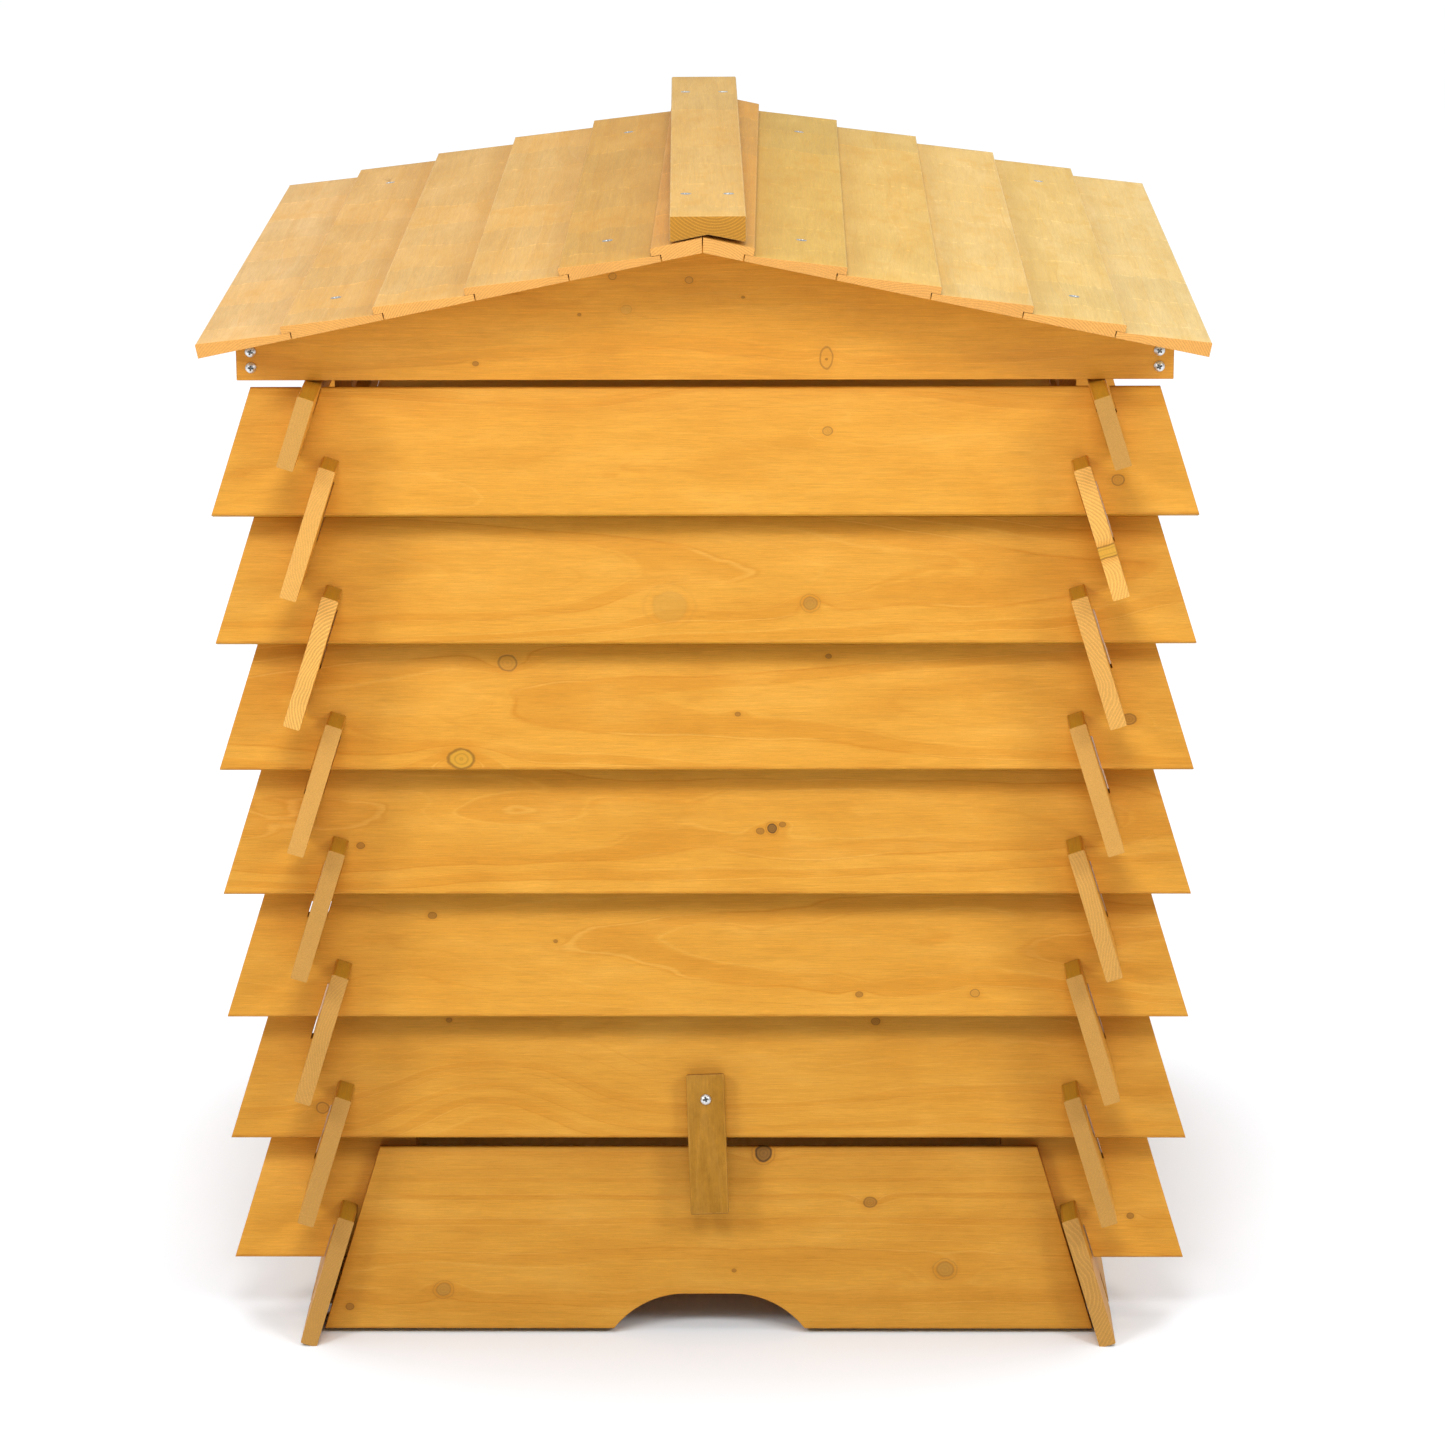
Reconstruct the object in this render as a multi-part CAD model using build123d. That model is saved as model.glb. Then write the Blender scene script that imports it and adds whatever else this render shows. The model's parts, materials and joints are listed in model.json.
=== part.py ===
from build123d import *
import math
import os

# A square bin of slanted, slotted boards with a lift-off roof and a hatch at the foot.
# Millimetres. Origin: centre of the footprint on the ground. -Y is the front, +Z is up.

# Louvre boards
board_length = 740.0     # along the lower outer edge, end to end
board_width = 97.0       # up the slope
board_thick = 13.0
edge_round = 2.0
slant_deg = 17.5         # lean from vertical, foot outwards
pitch = 99.0             # height from one board to the next on one side
half_span = 315.0        # from the centre to a board's lower outer edge
half_board_width = 52.3  # ripped board under the roof, on the left and right
foot_trim = 1.2          # planed off the lowest boards so that they stand flat

# Slots where the boards cross
meet_low = 23.8          # top of a lower slot, above the board's lower outer edge
meet_high = 73.3         # floor of an upper slot, above the same edge
slot_gap_out = 1.0
slot_gap_in = 0.5
slot_gap_end = 0.15

# Rows
side_rows = 8
front_rows = 6           # whole boards above the hatch
back_rows = 7
stub_inner = 228.4       # inner end of the short boards beside the hatch

# Hatch
hatch_height = 141.5     # up the slope
hatch_gap = 0.3          # hatch to the stub boards and to the ground
hatch_end_gap = 2.5
arch_width = 148.4
arch_flat = 39.0
arch_height = 27.0
arch_x = 0.8             # the arch is cut a little off centre
arch_bulge = 0.114       # rise of each shoulder's curve, as a share of its chord

# Turn button
button_width = 29.5
button_length = 108.0
button_thick = 12.5
button_gap = 0.3
button_round = 1.2
button_tilt_deg = 2.0
pivot_x = -1.5
pivot_up = 30.0          # pivot above the lower edge of its board
pivot_from_end = 19.5

# Roof
roof_slope_deg = 11.85
roof_length = 720.8
roof_apex = 852.6        # underside of the boards at the ridge
lid_bottom = 745.4
roof_butt = 11.0
roof_thin = 5.0
roof_lip = 7.0
roof_joint_gap = 0.15
roof_tongue_gap = 0.9     # between a board's thin edge and the heel it tucks behind
ridge_gap = 0.4           # from each top board to the ridge line
butt_places = [378.6, 314.5, 245.0, 176.3, 105.9, 36.9]  # down the slope from the ridge
gable_thick = 13.0
gable_face = 296.0       # outer face of each gable board
gable_half = 350.0
rail_outer = 349.0
rail_width = 20.0
rafter_width = 30.0
rafter_depth = 20.0
batten_inner = 266.0
batten_width = 13.0
batten_bottom = 729.0
batten_half = 270.0

# Ridge cap
cap_width = 55.8
cap_top = 879.8
cap_edge = 860.3         # lower edges
cap_groove = 866.0       # top of the V groove
cap_skew_deg = 1.1       # laid slightly out of line with the ridge
cap_shift = -2.9

# Screws
shank_radius = 1.9
head_radius = 4.1
head_height = 2.4
sink_height = 2.3
recess_width = 1.1
recess_length = 4.6
recess_depth = 1.3
hole_gap = 0.05
screw_length = 34.0
roof_screw_length = 25.0
button_screw_length = 24.0
cap_screw_length = 40.0
gable_screw_x = 339.0
gable_screw_heights = [767.3, 755.2]
roof_screw_boards = [2, 5]
roof_screw_from_butt = 33.5
roof_screw_y = 267.0
cap_screw_x = 16.0
cap_screw_rows = [-261.0, 268.0]

reach = 500.0            # larger than half the bin, for cutting solids

slant = math.radians(slant_deg)
lean_sin = math.sin(slant)
lean_cos = math.cos(slant)
lean_tan = math.tan(slant)
beta = math.radians(roof_slope_deg)
half_pitch = pitch / 2
first_side_z = board_thick * lean_sin - foot_trim
face_out = Vector(0, -lean_cos, lean_sin)


def side_z(row):
    """Height of a left or right board's lower outer edge; row 1 is under the roof."""
    return first_side_z + pitch * (side_rows - row)


def front_z(row):
    """Height of a front or back board's lower outer edge; row 1 is the highest."""
    return side_z(row) - half_pitch


def prism_y(points, y_low, y_high):
    """A prism along Y over (x, z) points."""
    plane = Plane(origin=(0, y_high, 0), x_dir=(1, 0, 0), z_dir=(0, -1, 0))
    return extrude(plane * Polygon(*points, align=None), y_high - y_low, dir=(0, -1, 0))


def mirror_x(points):
    return [(-x, z) for x, z in points]


def slab(z, low, high, half_length, thick=board_thick, offset=0.0, rounding=edge_round):
    """A front board leaning back: low and high are measured up the slope from height z."""
    origin = (0, -half_span, z)
    plane = Plane(origin=origin, x_dir=(0, lean_sin, lean_cos), z_dir=(1, 0, 0))
    centre = Pos((low + high) / 2, offset - thick / 2)
    outline = plane * (centre * RectangleRounded(high - low, thick, rounding))
    return extrude(outline, half_length, both=True)


def end_trim(z, half_length):
    """Everything between the two sloping end cuts of a board."""
    low = z - pitch
    high = z + 2 * pitch
    wide = half_length + pitch * lean_tan
    narrow = half_length - 2 * pitch * lean_tan
    points = [(-wide, low), (wide, low), (narrow, high), (-narrow, high)]
    return prism_y(points, -reach, reach)


def crossing_slot(cross_z, low, high):
    """The space of one crossing board, with its slot gaps, between two heights."""
    def outer(z):
        return half_span - (z - cross_z) * lean_tan + slot_gap_out / lean_cos

    def inner(z):
        across = (board_thick + slot_gap_in) / lean_cos
        return half_span - (z - cross_z) * lean_tan - across

    points = [(inner(low), low), (outer(low), low), (outer(high), high), (inner(high), high)]
    right = prism_y(points, -reach, reach)
    left = prism_y(mirror_x(points), -reach, reach)
    return [right, left]


def louvre_board(z, low=0.0, high=board_width):
    """One slotted board in the front wall's place."""
    board = slab(z, low, high, board_length / 2) & end_trim(z, board_length / 2)
    lower = crossing_slot(z - half_pitch, z - half_pitch, z + meet_low + slot_gap_end)
    upper = crossing_slot(z + half_pitch, z + meet_high - slot_gap_end, z + pitch + half_pitch)
    for slot in lower + upper:
        board -= slot
    return board


def above_ground(board):
    return board & (Pos(0, 0, reach) * Box(2 * reach, 2 * reach, 2 * reach))


def pan_screw(plane, length):
    """A pan head screw standing on a plane; the plane's normal points out of the wood."""
    dome = Sphere(head_radius * 1.35)
    head = Pos(0, 0, head_height / 2) * Cylinder(head_radius, head_height)
    head = head & (Pos(0, 0, head_height - head_radius * 1.35) * dome)
    return plane * (cross_recess(head, head_height) + shank(length))


def flush_screw(plane, length):
    """A countersunk screw with its head level with a plane."""
    cone = Cone(shank_radius, head_radius, sink_height)
    head = Pos(0, 0, -sink_height / 2) * cone
    return plane * (cross_recess(head, 0) + shank(length))


def shank(length):
    tip = 2 * shank_radius
    rod = Pos(0, 0, -(length - tip) / 2) * Cylinder(shank_radius, length - tip)
    point = Pos(0, 0, -length + tip / 2) * Cone(0.2, shank_radius, tip)
    return rod + point


def cross_recess(head, top):
    bar = Pos(0, 0, top) * Box(recess_length, recess_width, 2 * recess_depth)
    return head - bar - Rot(0, 0, 90) * bar


def shank_hole(plane, length):
    radius = shank_radius + hole_gap
    return plane * (Pos(0, 0, -length / 2 + 1) * Cylinder(radius, length + 2))


def sink_hole(plane, length):
    """A pilot hole with a countersink that the flush head lies in."""
    cone = Cone(shank_radius + hole_gap, head_radius + hole_gap, sink_height)
    rim = Cylinder(head_radius + hole_gap, 1.0)
    local = Pos(0, 0, -sink_height / 2) * cone + Pos(0, 0, 0.5) * rim
    return plane * local + shank_hole(plane, length)


def on_board(z, x, up, out):
    """A plane on a front board's face, with its normal out of the wood."""
    origin = Vector(x, -half_span, z) + Vector(0, lean_sin, lean_cos) * up + face_out * out
    return Plane(origin=origin, x_dir=(1, 0, 0), z_dir=face_out)


def roof_point(along, height, sign=1):
    """Along the roof's underside from the ridge, and square to it."""
    x = along * math.cos(beta) + height * math.sin(beta)
    z = roof_apex - along * math.sin(beta) + height * math.cos(beta)
    return (sign * x, z)


def under_roof(x, drop=0.0):
    return roof_apex - abs(x) * math.tan(beta) - drop / math.cos(beta)


def roof_plane(row, y, sign):
    """The upper face of a roof board where its screw goes in."""
    butt = butt_places[row - 1]
    taper = (roof_butt - roof_thin) / (butt - butt_places[row])
    along = butt - roof_screw_from_butt
    x, z = roof_point(along, roof_butt - taper * roof_screw_from_butt, sign)
    tilt = beta - math.atan(taper)
    normal = (sign * math.sin(tilt), 0, math.cos(tilt))
    return Plane(origin=(x, y, z), x_dir=(0, 1, 0), z_dir=normal)


def roof_board(row, sign):
    """A tapered board whose lip laps over the thin edge of the board below."""
    butt = butt_places[row - 1]
    if row == 1:
        lower = [(butt, 0), (butt, roof_butt)]
    else:
        heel = butt - roof_lip
        lip = roof_thin + roof_joint_gap
        lower = [(heel, 0), (heel, lip), (butt, lip), (butt, roof_butt)]
    if row == len(butt_places):
        seam = ridge_gap / math.cos(beta)
        upper = [(seam - roof_butt * math.tan(beta), roof_butt), (seam, 0)]
    else:
        next_butt = butt_places[row]
        thin_end = next_butt - roof_lip + roof_tongue_gap
        upper = [(next_butt, roof_thin), (thin_end, roof_thin), (thin_end, 0)]
    points = [roof_point(along, height, sign) for along, height in lower + upper]
    return prism_y(points, -roof_length / 2, roof_length / 2)


def gable(sign):
    """A triangular end board of the roof; sign -1 is the front."""
    points = [
        (-gable_half, lid_bottom),
        (gable_half, lid_bottom),
        (gable_half, under_roof(gable_half)),
        (0, roof_apex),
        (-gable_half, under_roof(gable_half)),
    ]
    faces = sorted([sign * gable_face, sign * (gable_face - gable_thick)])
    board = prism_y(points, faces[0], faces[1])
    for plane in gable_screw_planes(sign):
        board -= shank_hole(plane, screw_length)
    return board


def gable_screw_planes(sign):
    planes = []
    for x in (-gable_screw_x, gable_screw_x):
        for z in gable_screw_heights:
            origin = (x, sign * gable_face, z)
            planes.append(Plane(origin=origin, x_dir=(1, 0, 0), z_dir=(0, sign, 0)))
    return planes


def side_rail(sign):
    inner = rail_outer - rail_width
    points = [
        (sign * inner, lid_bottom),
        (sign * rail_outer, lid_bottom),
        (sign * rail_outer, under_roof(rail_outer)),
        (sign * inner, under_roof(inner)),
    ]
    half = gable_face - gable_thick
    rail = prism_y(points, -half, half)
    for end in (-1, 1):
        for plane in gable_screw_planes(end):
            rail -= shank_hole(plane, screw_length)
    return rail


def rafter(x_sign, y_sign):
    """A sloping batten behind a gable, from the ridge to a side rail."""
    start = hole_gap
    end = rail_outer - rail_width
    points = [
        (x_sign * start, under_roof(start)),
        (x_sign * end, under_roof(end)),
        (x_sign * end, under_roof(end, rafter_depth)),
        (x_sign * start, under_roof(start, rafter_depth)),
    ]
    outer = gable_face - gable_thick
    faces = sorted([y_sign * outer, y_sign * (outer - rafter_width)])
    piece = prism_y(points, faces[0], faces[1])
    for row in roof_screw_boards:
        plane = roof_plane(row, y_sign * roof_screw_y, x_sign)
        piece -= shank_hole(plane, roof_screw_length)
    for plane in cap_screw_planes():
        piece -= shank_hole(plane, cap_screw_length)
    return piece


def locating_batten(sign):
    outer = batten_inner + batten_width
    points = [
        (sign * batten_inner, batten_bottom),
        (sign * outer, batten_bottom),
        (sign * outer, under_roof(outer, rafter_depth)),
        (sign * batten_inner, under_roof(batten_inner, rafter_depth)),
    ]
    return prism_y(points, -batten_half, batten_half)


def cap_screw_planes():
    planes = []
    for y in cap_screw_rows:
        drift = cap_shift - y * math.tan(math.radians(cap_skew_deg))
        for x in (-cap_screw_x, cap_screw_x):
            planes.append(Plane(origin=(x + drift, y, cap_top), x_dir=(1, 0, 0), z_dir=(0, 0, 1)))
    return planes


def ridge_cap():
    half = cap_width / 2
    points = [
        (-half, cap_edge),
        (0, cap_groove),
        (half, cap_edge),
        (half, cap_top),
        (-half, cap_top),
    ]
    bar = prism_y(points, -roof_length / 2, roof_length / 2)
    long_edges = bar.edges().filter_by(Axis.Y).group_by(Axis.Z)[-1]
    bar = fillet(long_edges, edge_round / 2)
    bar = Pos(cap_shift, 0, 0) * (Rot(0, 0, cap_skew_deg) * bar)
    for plane in cap_screw_planes():
        bar -= sink_hole(plane, cap_screw_length)
    return bar


def hatch_panel():
    """A wide leaning board on the stub boards' faces, with a low arch in its foot."""
    z = front_z(front_rows + 1)
    low = (hatch_gap - z) / lean_cos - hatch_gap * lean_tan
    offset = board_thick + hatch_gap
    panel = slab(z, low, low + hatch_height, board_length / 2, offset=offset, rounding=1.0)
    inside = half_span - (board_thick + hatch_end_gap) / lean_cos
    panel = panel & end_trim(first_side_z, inside)
    return panel - arch_cut(z, low)


def arch_cut(z, low):
    """The arch's outline on the hatch: a flat crown with a curved shoulder each side."""
    flat = arch_flat / 2
    foot = arch_width / 2
    crown = low + arch_height
    below = low - board_thick
    middle_x = (foot + flat) / 2 + arch_bulge * arch_height
    middle_y = (low + crown) / 2 + arch_bulge * (foot - flat)
    outline = make_face(
        Curve()
        + [
            Line((-foot, below), (foot, below)),
            Line((foot, below), (foot, low)),
            ThreePointArc((foot, low), (middle_x, middle_y), (flat, crown)),
            Line((flat, crown), (-flat, crown)),
            ThreePointArc((-flat, crown), (-middle_x, middle_y), (-foot, low)),
            Line((-foot, low), (-foot, below)),
        ]
    )
    face = Plane(origin=(arch_x, -half_span, z), x_dir=(1, 0, 0), z_dir=face_out)
    return extrude(face * outline, 3 * board_thick, both=True)


def turn_button():
    """A wooden toggle on the lowest whole front board, over the hatch's upper edge."""
    plane = on_board(front_z(front_rows), pivot_x, pivot_up, button_gap)
    bar = Box(button_width, button_length, button_thick)
    bar = fillet(bar.edges(), button_round)
    drop = pivot_from_end - button_length / 2
    bar = Pos(0, drop, button_thick / 2) * bar
    bar = plane * (Rot(0, 0, button_tilt_deg) * bar)
    top = on_board(front_z(front_rows), pivot_x, pivot_up, button_gap + button_thick)
    return bar - shank_hole(top, button_thick + 2)


def button_screw_plane():
    out = 2 * button_gap + button_thick
    return on_board(front_z(front_rows), pivot_x, pivot_up, out)


def solids(shape):
    """One solid as it is, or several as one group."""
    pieces = shape.solids()
    return pieces[0] if len(pieces) == 1 else Compound(children=list(pieces))


def group(shapes):
    return Compound(children=[piece for shape in shapes for piece in shape.solids()])


def turned(shape, degrees):
    return Rot(0, 0, degrees) * shape


parts = {}

# Front wall: whole boards, then two stubs beside the hatch.
for row in range(1, front_rows + 1):
    board = louvre_board(front_z(row))
    if row == front_rows:
        board -= shank_hole(button_screw_plane(), button_screw_length)
    parts[f"front_board_{row}"] = board
lowest = louvre_board(front_z(front_rows + 1))
for name, sign in (("left", -1), ("right", 1)):
    keep = Pos(sign * (stub_inner + reach), 0, reach) * Box(2 * reach, 2 * reach, 2 * reach)
    parts[f"front_stub_{name}"] = lowest & keep

# Back wall: whole boards down to a part board on the ground.
for row in range(1, back_rows + 1):
    parts[f"back_board_{row}"] = turned(louvre_board(front_z(row)), 180)
foot_z = front_z(back_rows + 1)
foot_low = (first_side_z - foot_z) / lean_cos
foot_board = above_ground(louvre_board(foot_z, low=foot_low))
parts["back_board_foot"] = turned(foot_board, 180)

# Left and right walls: a ripped board under the roof, then whole boards.
for name, angle in (("left", -90), ("right", 90)):
    ripped = louvre_board(side_z(1), high=half_board_width)
    parts[f"{name}_board_1_ripped"] = turned(ripped, angle)
    for row in range(2, side_rows + 1):
        board = above_ground(louvre_board(side_z(row)))
        parts[f"{name}_board_{row}"] = turned(board, angle)

# Hatch and its turn button.
parts["hatch_panel"] = hatch_panel()
parts["turn_button"] = turn_button()
parts["turn_button_screw"] = pan_screw(button_screw_plane(), button_screw_length)

# Roof boards, numbered from the eaves up.
for name, sign in (("left", -1), ("right", 1)):
    for row in range(1, len(butt_places) + 1):
        board = roof_board(row, sign)
        if row in roof_screw_boards:
            for y in (-roof_screw_y, roof_screw_y):
                board -= sink_hole(roof_plane(row, y, sign), roof_screw_length)
        if row == len(butt_places):
            for plane in cap_screw_planes():
                board -= shank_hole(plane, cap_screw_length)
        parts[f"roof_{name}_board_{row}"] = board
    parts[f"roof_{name}_rail"] = side_rail(sign)

# Roof frame.
for name, sign in (("front", -1), ("back", 1)):
    parts[f"{name}_gable"] = gable(sign)
    parts[f"{name}_rafters"] = group([rafter(-1, sign), rafter(1, sign)])
parts["locating_battens"] = group([locating_batten(-1), locating_batten(1)])
parts["ridge_cap"] = ridge_cap()

# Screws of the roof.
gable_planes = gable_screw_planes(-1) + gable_screw_planes(1)
parts["gable_screws"] = group([pan_screw(plane, screw_length) for plane in gable_planes])
roof_planes = [
    roof_plane(row, y, sign)
    for row in roof_screw_boards
    for y in (-roof_screw_y, roof_screw_y)
    for sign in (-1, 1)
]
parts["roof_screws"] = group([flush_screw(plane, roof_screw_length) for plane in roof_planes])
cap_planes = cap_screw_planes()
parts["ridge_cap_screws"] = group([flush_screw(plane, cap_screw_length) for plane in cap_planes])

os.makedirs("parts", exist_ok=True)
for name, shape in parts.items():
    export_step(solids(shape), f"parts/{name}.step")
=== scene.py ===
import json
import math
import random
from collections import namedtuple

import bmesh
import bpy
from mathutils import Matrix, Vector

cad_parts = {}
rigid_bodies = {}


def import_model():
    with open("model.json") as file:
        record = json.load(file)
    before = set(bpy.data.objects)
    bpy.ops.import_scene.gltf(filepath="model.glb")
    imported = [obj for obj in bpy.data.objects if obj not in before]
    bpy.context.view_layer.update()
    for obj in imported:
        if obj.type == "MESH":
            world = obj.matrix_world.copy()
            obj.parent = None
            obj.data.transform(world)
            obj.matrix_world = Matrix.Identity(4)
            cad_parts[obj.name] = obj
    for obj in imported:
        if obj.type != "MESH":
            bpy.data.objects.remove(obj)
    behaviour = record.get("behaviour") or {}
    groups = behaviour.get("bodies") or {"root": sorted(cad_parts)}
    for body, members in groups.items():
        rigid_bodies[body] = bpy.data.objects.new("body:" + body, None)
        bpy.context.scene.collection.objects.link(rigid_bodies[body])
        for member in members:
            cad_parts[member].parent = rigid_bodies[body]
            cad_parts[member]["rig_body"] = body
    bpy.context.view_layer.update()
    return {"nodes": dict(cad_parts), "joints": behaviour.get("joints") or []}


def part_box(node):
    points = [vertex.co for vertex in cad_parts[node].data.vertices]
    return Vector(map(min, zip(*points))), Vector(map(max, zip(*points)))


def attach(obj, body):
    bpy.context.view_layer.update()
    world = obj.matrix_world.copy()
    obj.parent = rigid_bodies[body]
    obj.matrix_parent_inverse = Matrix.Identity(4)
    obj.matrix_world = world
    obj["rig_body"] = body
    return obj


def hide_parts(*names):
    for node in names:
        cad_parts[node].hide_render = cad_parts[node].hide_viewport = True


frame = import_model()

# ---- sizes, as in the CAD model (metres)
BOARD_LENGTH = 0.740
BOARD_WIDTH = 0.097
HALF_BOARD_WIDTH = 0.0523
BOARD_THICK = 0.013
EDGE_ROUND = 0.002
SLANT = math.radians(17.5)
MEET_LOW = 0.0238
MEET_HIGH = 0.0733
SLOT_GAP_OUT = 0.001
SLOT_GAP_IN = 0.0005
SLOT_GAP_END = 0.00015
STUB_INNER = 0.2284
HATCH_HEIGHT = 0.1415
HATCH_GAP = 0.0003
HATCH_END_GAP = 0.0025
ARCH_WIDTH = 0.1484
ARCH_FLAT = 0.039
ARCH_HEIGHT = 0.027
ARCH_BULGE = 0.114
ARCH_X = 0.0008
BUTTON = (0.0295, 0.108, 0.0125)
BUTTON_TILT = math.radians(2.0)
PIVOT_UP = 0.030
PIVOT_FROM_END = 0.0195
ROOF_SLOPE = math.radians(11.85)
ROOF_APEX = 0.8526
ROOF_BUTT = 0.011
ROOF_THIN = 0.005
ROOF_LIP = 0.007
ROOF_JOINT_GAP = 0.00015
ROOF_TONGUE_GAP = 0.0009
RIDGE_GAP = 0.0004
BUTT_PLACES = (0.3786, 0.3145, 0.2450, 0.1763, 0.1059, 0.0369)
RAFTER_DEPTH = 0.020
CAP_WIDTH = 0.0558
CAP_EDGE = 0.8603
CAP_GROOVE = 0.8660
CAP_SKEW = math.radians(1.1)
CAP_SHIFT = -0.0029
SHANK_RADIUS = 0.0019
HEAD_RADIUS = 0.0041
PAN_HEIGHT = 0.0024
SINK_HEIGHT = 0.0023
SCREW_LENGTH = 0.034
ROOF_SCREW_LENGTH = 0.025
BUTTON_SCREW_LENGTH = 0.024
CAP_SCREW_LENGTH = 0.040
GABLE_SCREW_X = 0.339
GABLE_SCREW_HEIGHTS = (0.7673, 0.7552)
ROOF_SCREW_BOARDS = (2, 5)
ROOF_SCREW_FROM_BUTT = 0.0335
ROOF_SCREW_Y = 0.267
CAP_SCREW_X = 0.016
CAP_SCREW_ROWS = (-0.261, 0.268)

SIN, COS, TAN = math.sin(SLANT), math.cos(SLANT), math.tan(SLANT)
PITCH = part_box("front_board_1")[1].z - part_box("front_board_2")[1].z
# What a rounded corner loses of the sharp corner's height on a leaning board.
CORNER_LOSS = EDGE_ROUND * (SIN + COS - 1)
SPAN = CORNER_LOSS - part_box("front_board_1")[0].y

# ---- mesh detail
MERGE = 1e-6
SAME = 1e-5
END_GRAIN_COSINE = 0.7
EDGE_FACE_COSINE = 0.8
SHARP_ANGLE = math.radians(32)
BOW_WAVES = 7.0
BOARD_BOW = 0.0003
SLIM_BOW = 0.0001
# Bevels, as (radius, segments, share of the radius that the other edges get).
BOARD_BEVEL = (EDGE_ROUND, 4, 0.16)
HATCH_BEVEL = (0.0014, 3, 0.35)
ROOF_BEVEL = (0.0014, 3, 0.2)
BUTTON_BEVEL = (0.0012, 3, 1.0)
CAP_BEVEL = (0.0012, 2, 1.0)
FRAME_BEVEL = (0.0006, 2, 1.0)
SLICE_STEP = 0.04
FRAME_SLICE_STEP = 0.05
HATCH_SLICE_REACH = 0.3
HATCH_SLICE_HEIGHTS = (0.055, 0.1)
BUTTON_SLICES = 10
ARCH_STEPS = 16
ROOF_ORIGIN_FROM_BUTT = 0.035
ROOF_SLICES = (-0.015, 0.0, 0.012)
RAFTER_GAP = 0.00005
HEAD_RINGS = 26
SCREW_SIDES = 48
THREAD_PITCH = 0.0018
THREAD_STEPS = 6
RECESS_WIDTH = 0.0011
RECESS_LENGTH = 0.0046
RECESS_DEPTH = 0.0013
RECESS_WALL = 0.00018
RECESS_RUN_OUT = 0.0009
DOME_RADIUS = 1.35 * HEAD_RADIUS
RIM_RADIUS = 0.97 * HEAD_RADIUS
RIM_DROP = 0.0002
NECK_DROP = 0.0001
TIP_RADIUS = 0.0002
TIP_LENGTH = 2 * SHANK_RADIUS
THREAD_DEPTH = 0.22
THREAD_SHAPE = 0.6
HOLE_GAP = 0.00005
HOLE_OVERSHOOT = 0.001
HOLE_RADIUS = SHANK_RADIUS + HOLE_GAP

SIDE_TURNS = {"front": 0.0, "back": math.pi, "left": -math.pi / 2, "right": math.pi / 2}
SIDES = (("left", -1), ("right", 1))


# ---- meshes
def loft(name, loops, bevel_sizes, is_round):
    """A solid between two loops of points. Edges that is_round picks get the bevel's whole radius."""
    radius, segments, crisp = bevel_sizes
    mesh = bmesh.new()
    rings = [[mesh.verts.new(point) for point in loop] for loop in loops]
    mesh.faces.new(rings[0])
    mesh.faces.new(list(reversed(rings[1])))
    for i, vert in enumerate(rings[0]):
        j = (i + 1) % len(rings[0])
        mesh.faces.new((rings[0][j], vert, rings[1][i], rings[1][j]))
    bmesh.ops.recalc_face_normals(mesh, faces=mesh.faces)
    weight = mesh.edges.layers.float.new("bevel_weight_edge")
    for edge in mesh.edges:
        edge[weight] = 1.0 if is_round(edge.verts[0].co, edge.verts[1].co) else crisp
    shape = new_object(name + "_wood", mesh)
    # Two empty material slots, so that the bevel can mark its faces with the second one.
    shape.data.materials.append(None)
    shape.data.materials.append(None)
    bevel = shape.modifiers.new("round", "BEVEL")
    bevel.width = radius
    bevel.segments = segments
    bevel.material = 1
    bevel.limit_method = "WEIGHT"
    bevel.use_clamp_overlap = False
    return shape


def every_edge(a, b):
    return True


def link(name, data):
    shape = bpy.data.objects.new(name, data)
    bpy.context.scene.collection.objects.link(shape)
    return shape


def new_object(name, mesh):
    data = bpy.data.meshes.new(name)
    mesh.to_mesh(data)
    mesh.free()
    return link(name, data)


def applied(shape):
    """The shape's mesh with its modifiers, as a bmesh; the modifiers and cutters are removed."""
    bpy.context.view_layer.update()
    depsgraph = bpy.context.evaluated_depsgraph_get()
    result = bpy.data.meshes.new_from_object(shape.evaluated_get(depsgraph))
    cutters = [modifier.object for modifier in shape.modifiers if modifier.type == "BOOLEAN"]
    shape.modifiers.clear()
    for cutter in cutters:
        bpy.data.objects.remove(cutter)
    mesh = bmesh.new()
    mesh.from_mesh(result)
    bpy.data.meshes.remove(result)
    return mesh


def slice_up(mesh, normal, places, clear=False):
    """Cuts the mesh at each distance along normal; clear drops what lies below the cut."""
    for distance in places:
        geometry = mesh.verts[:] + mesh.edges[:] + mesh.faces[:]
        bmesh.ops.bisect_plane(
            mesh, geom=geometry, dist=MERGE, plane_co=Vector(normal) * distance, plane_no=normal,
            clear_inner=clear)


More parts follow.
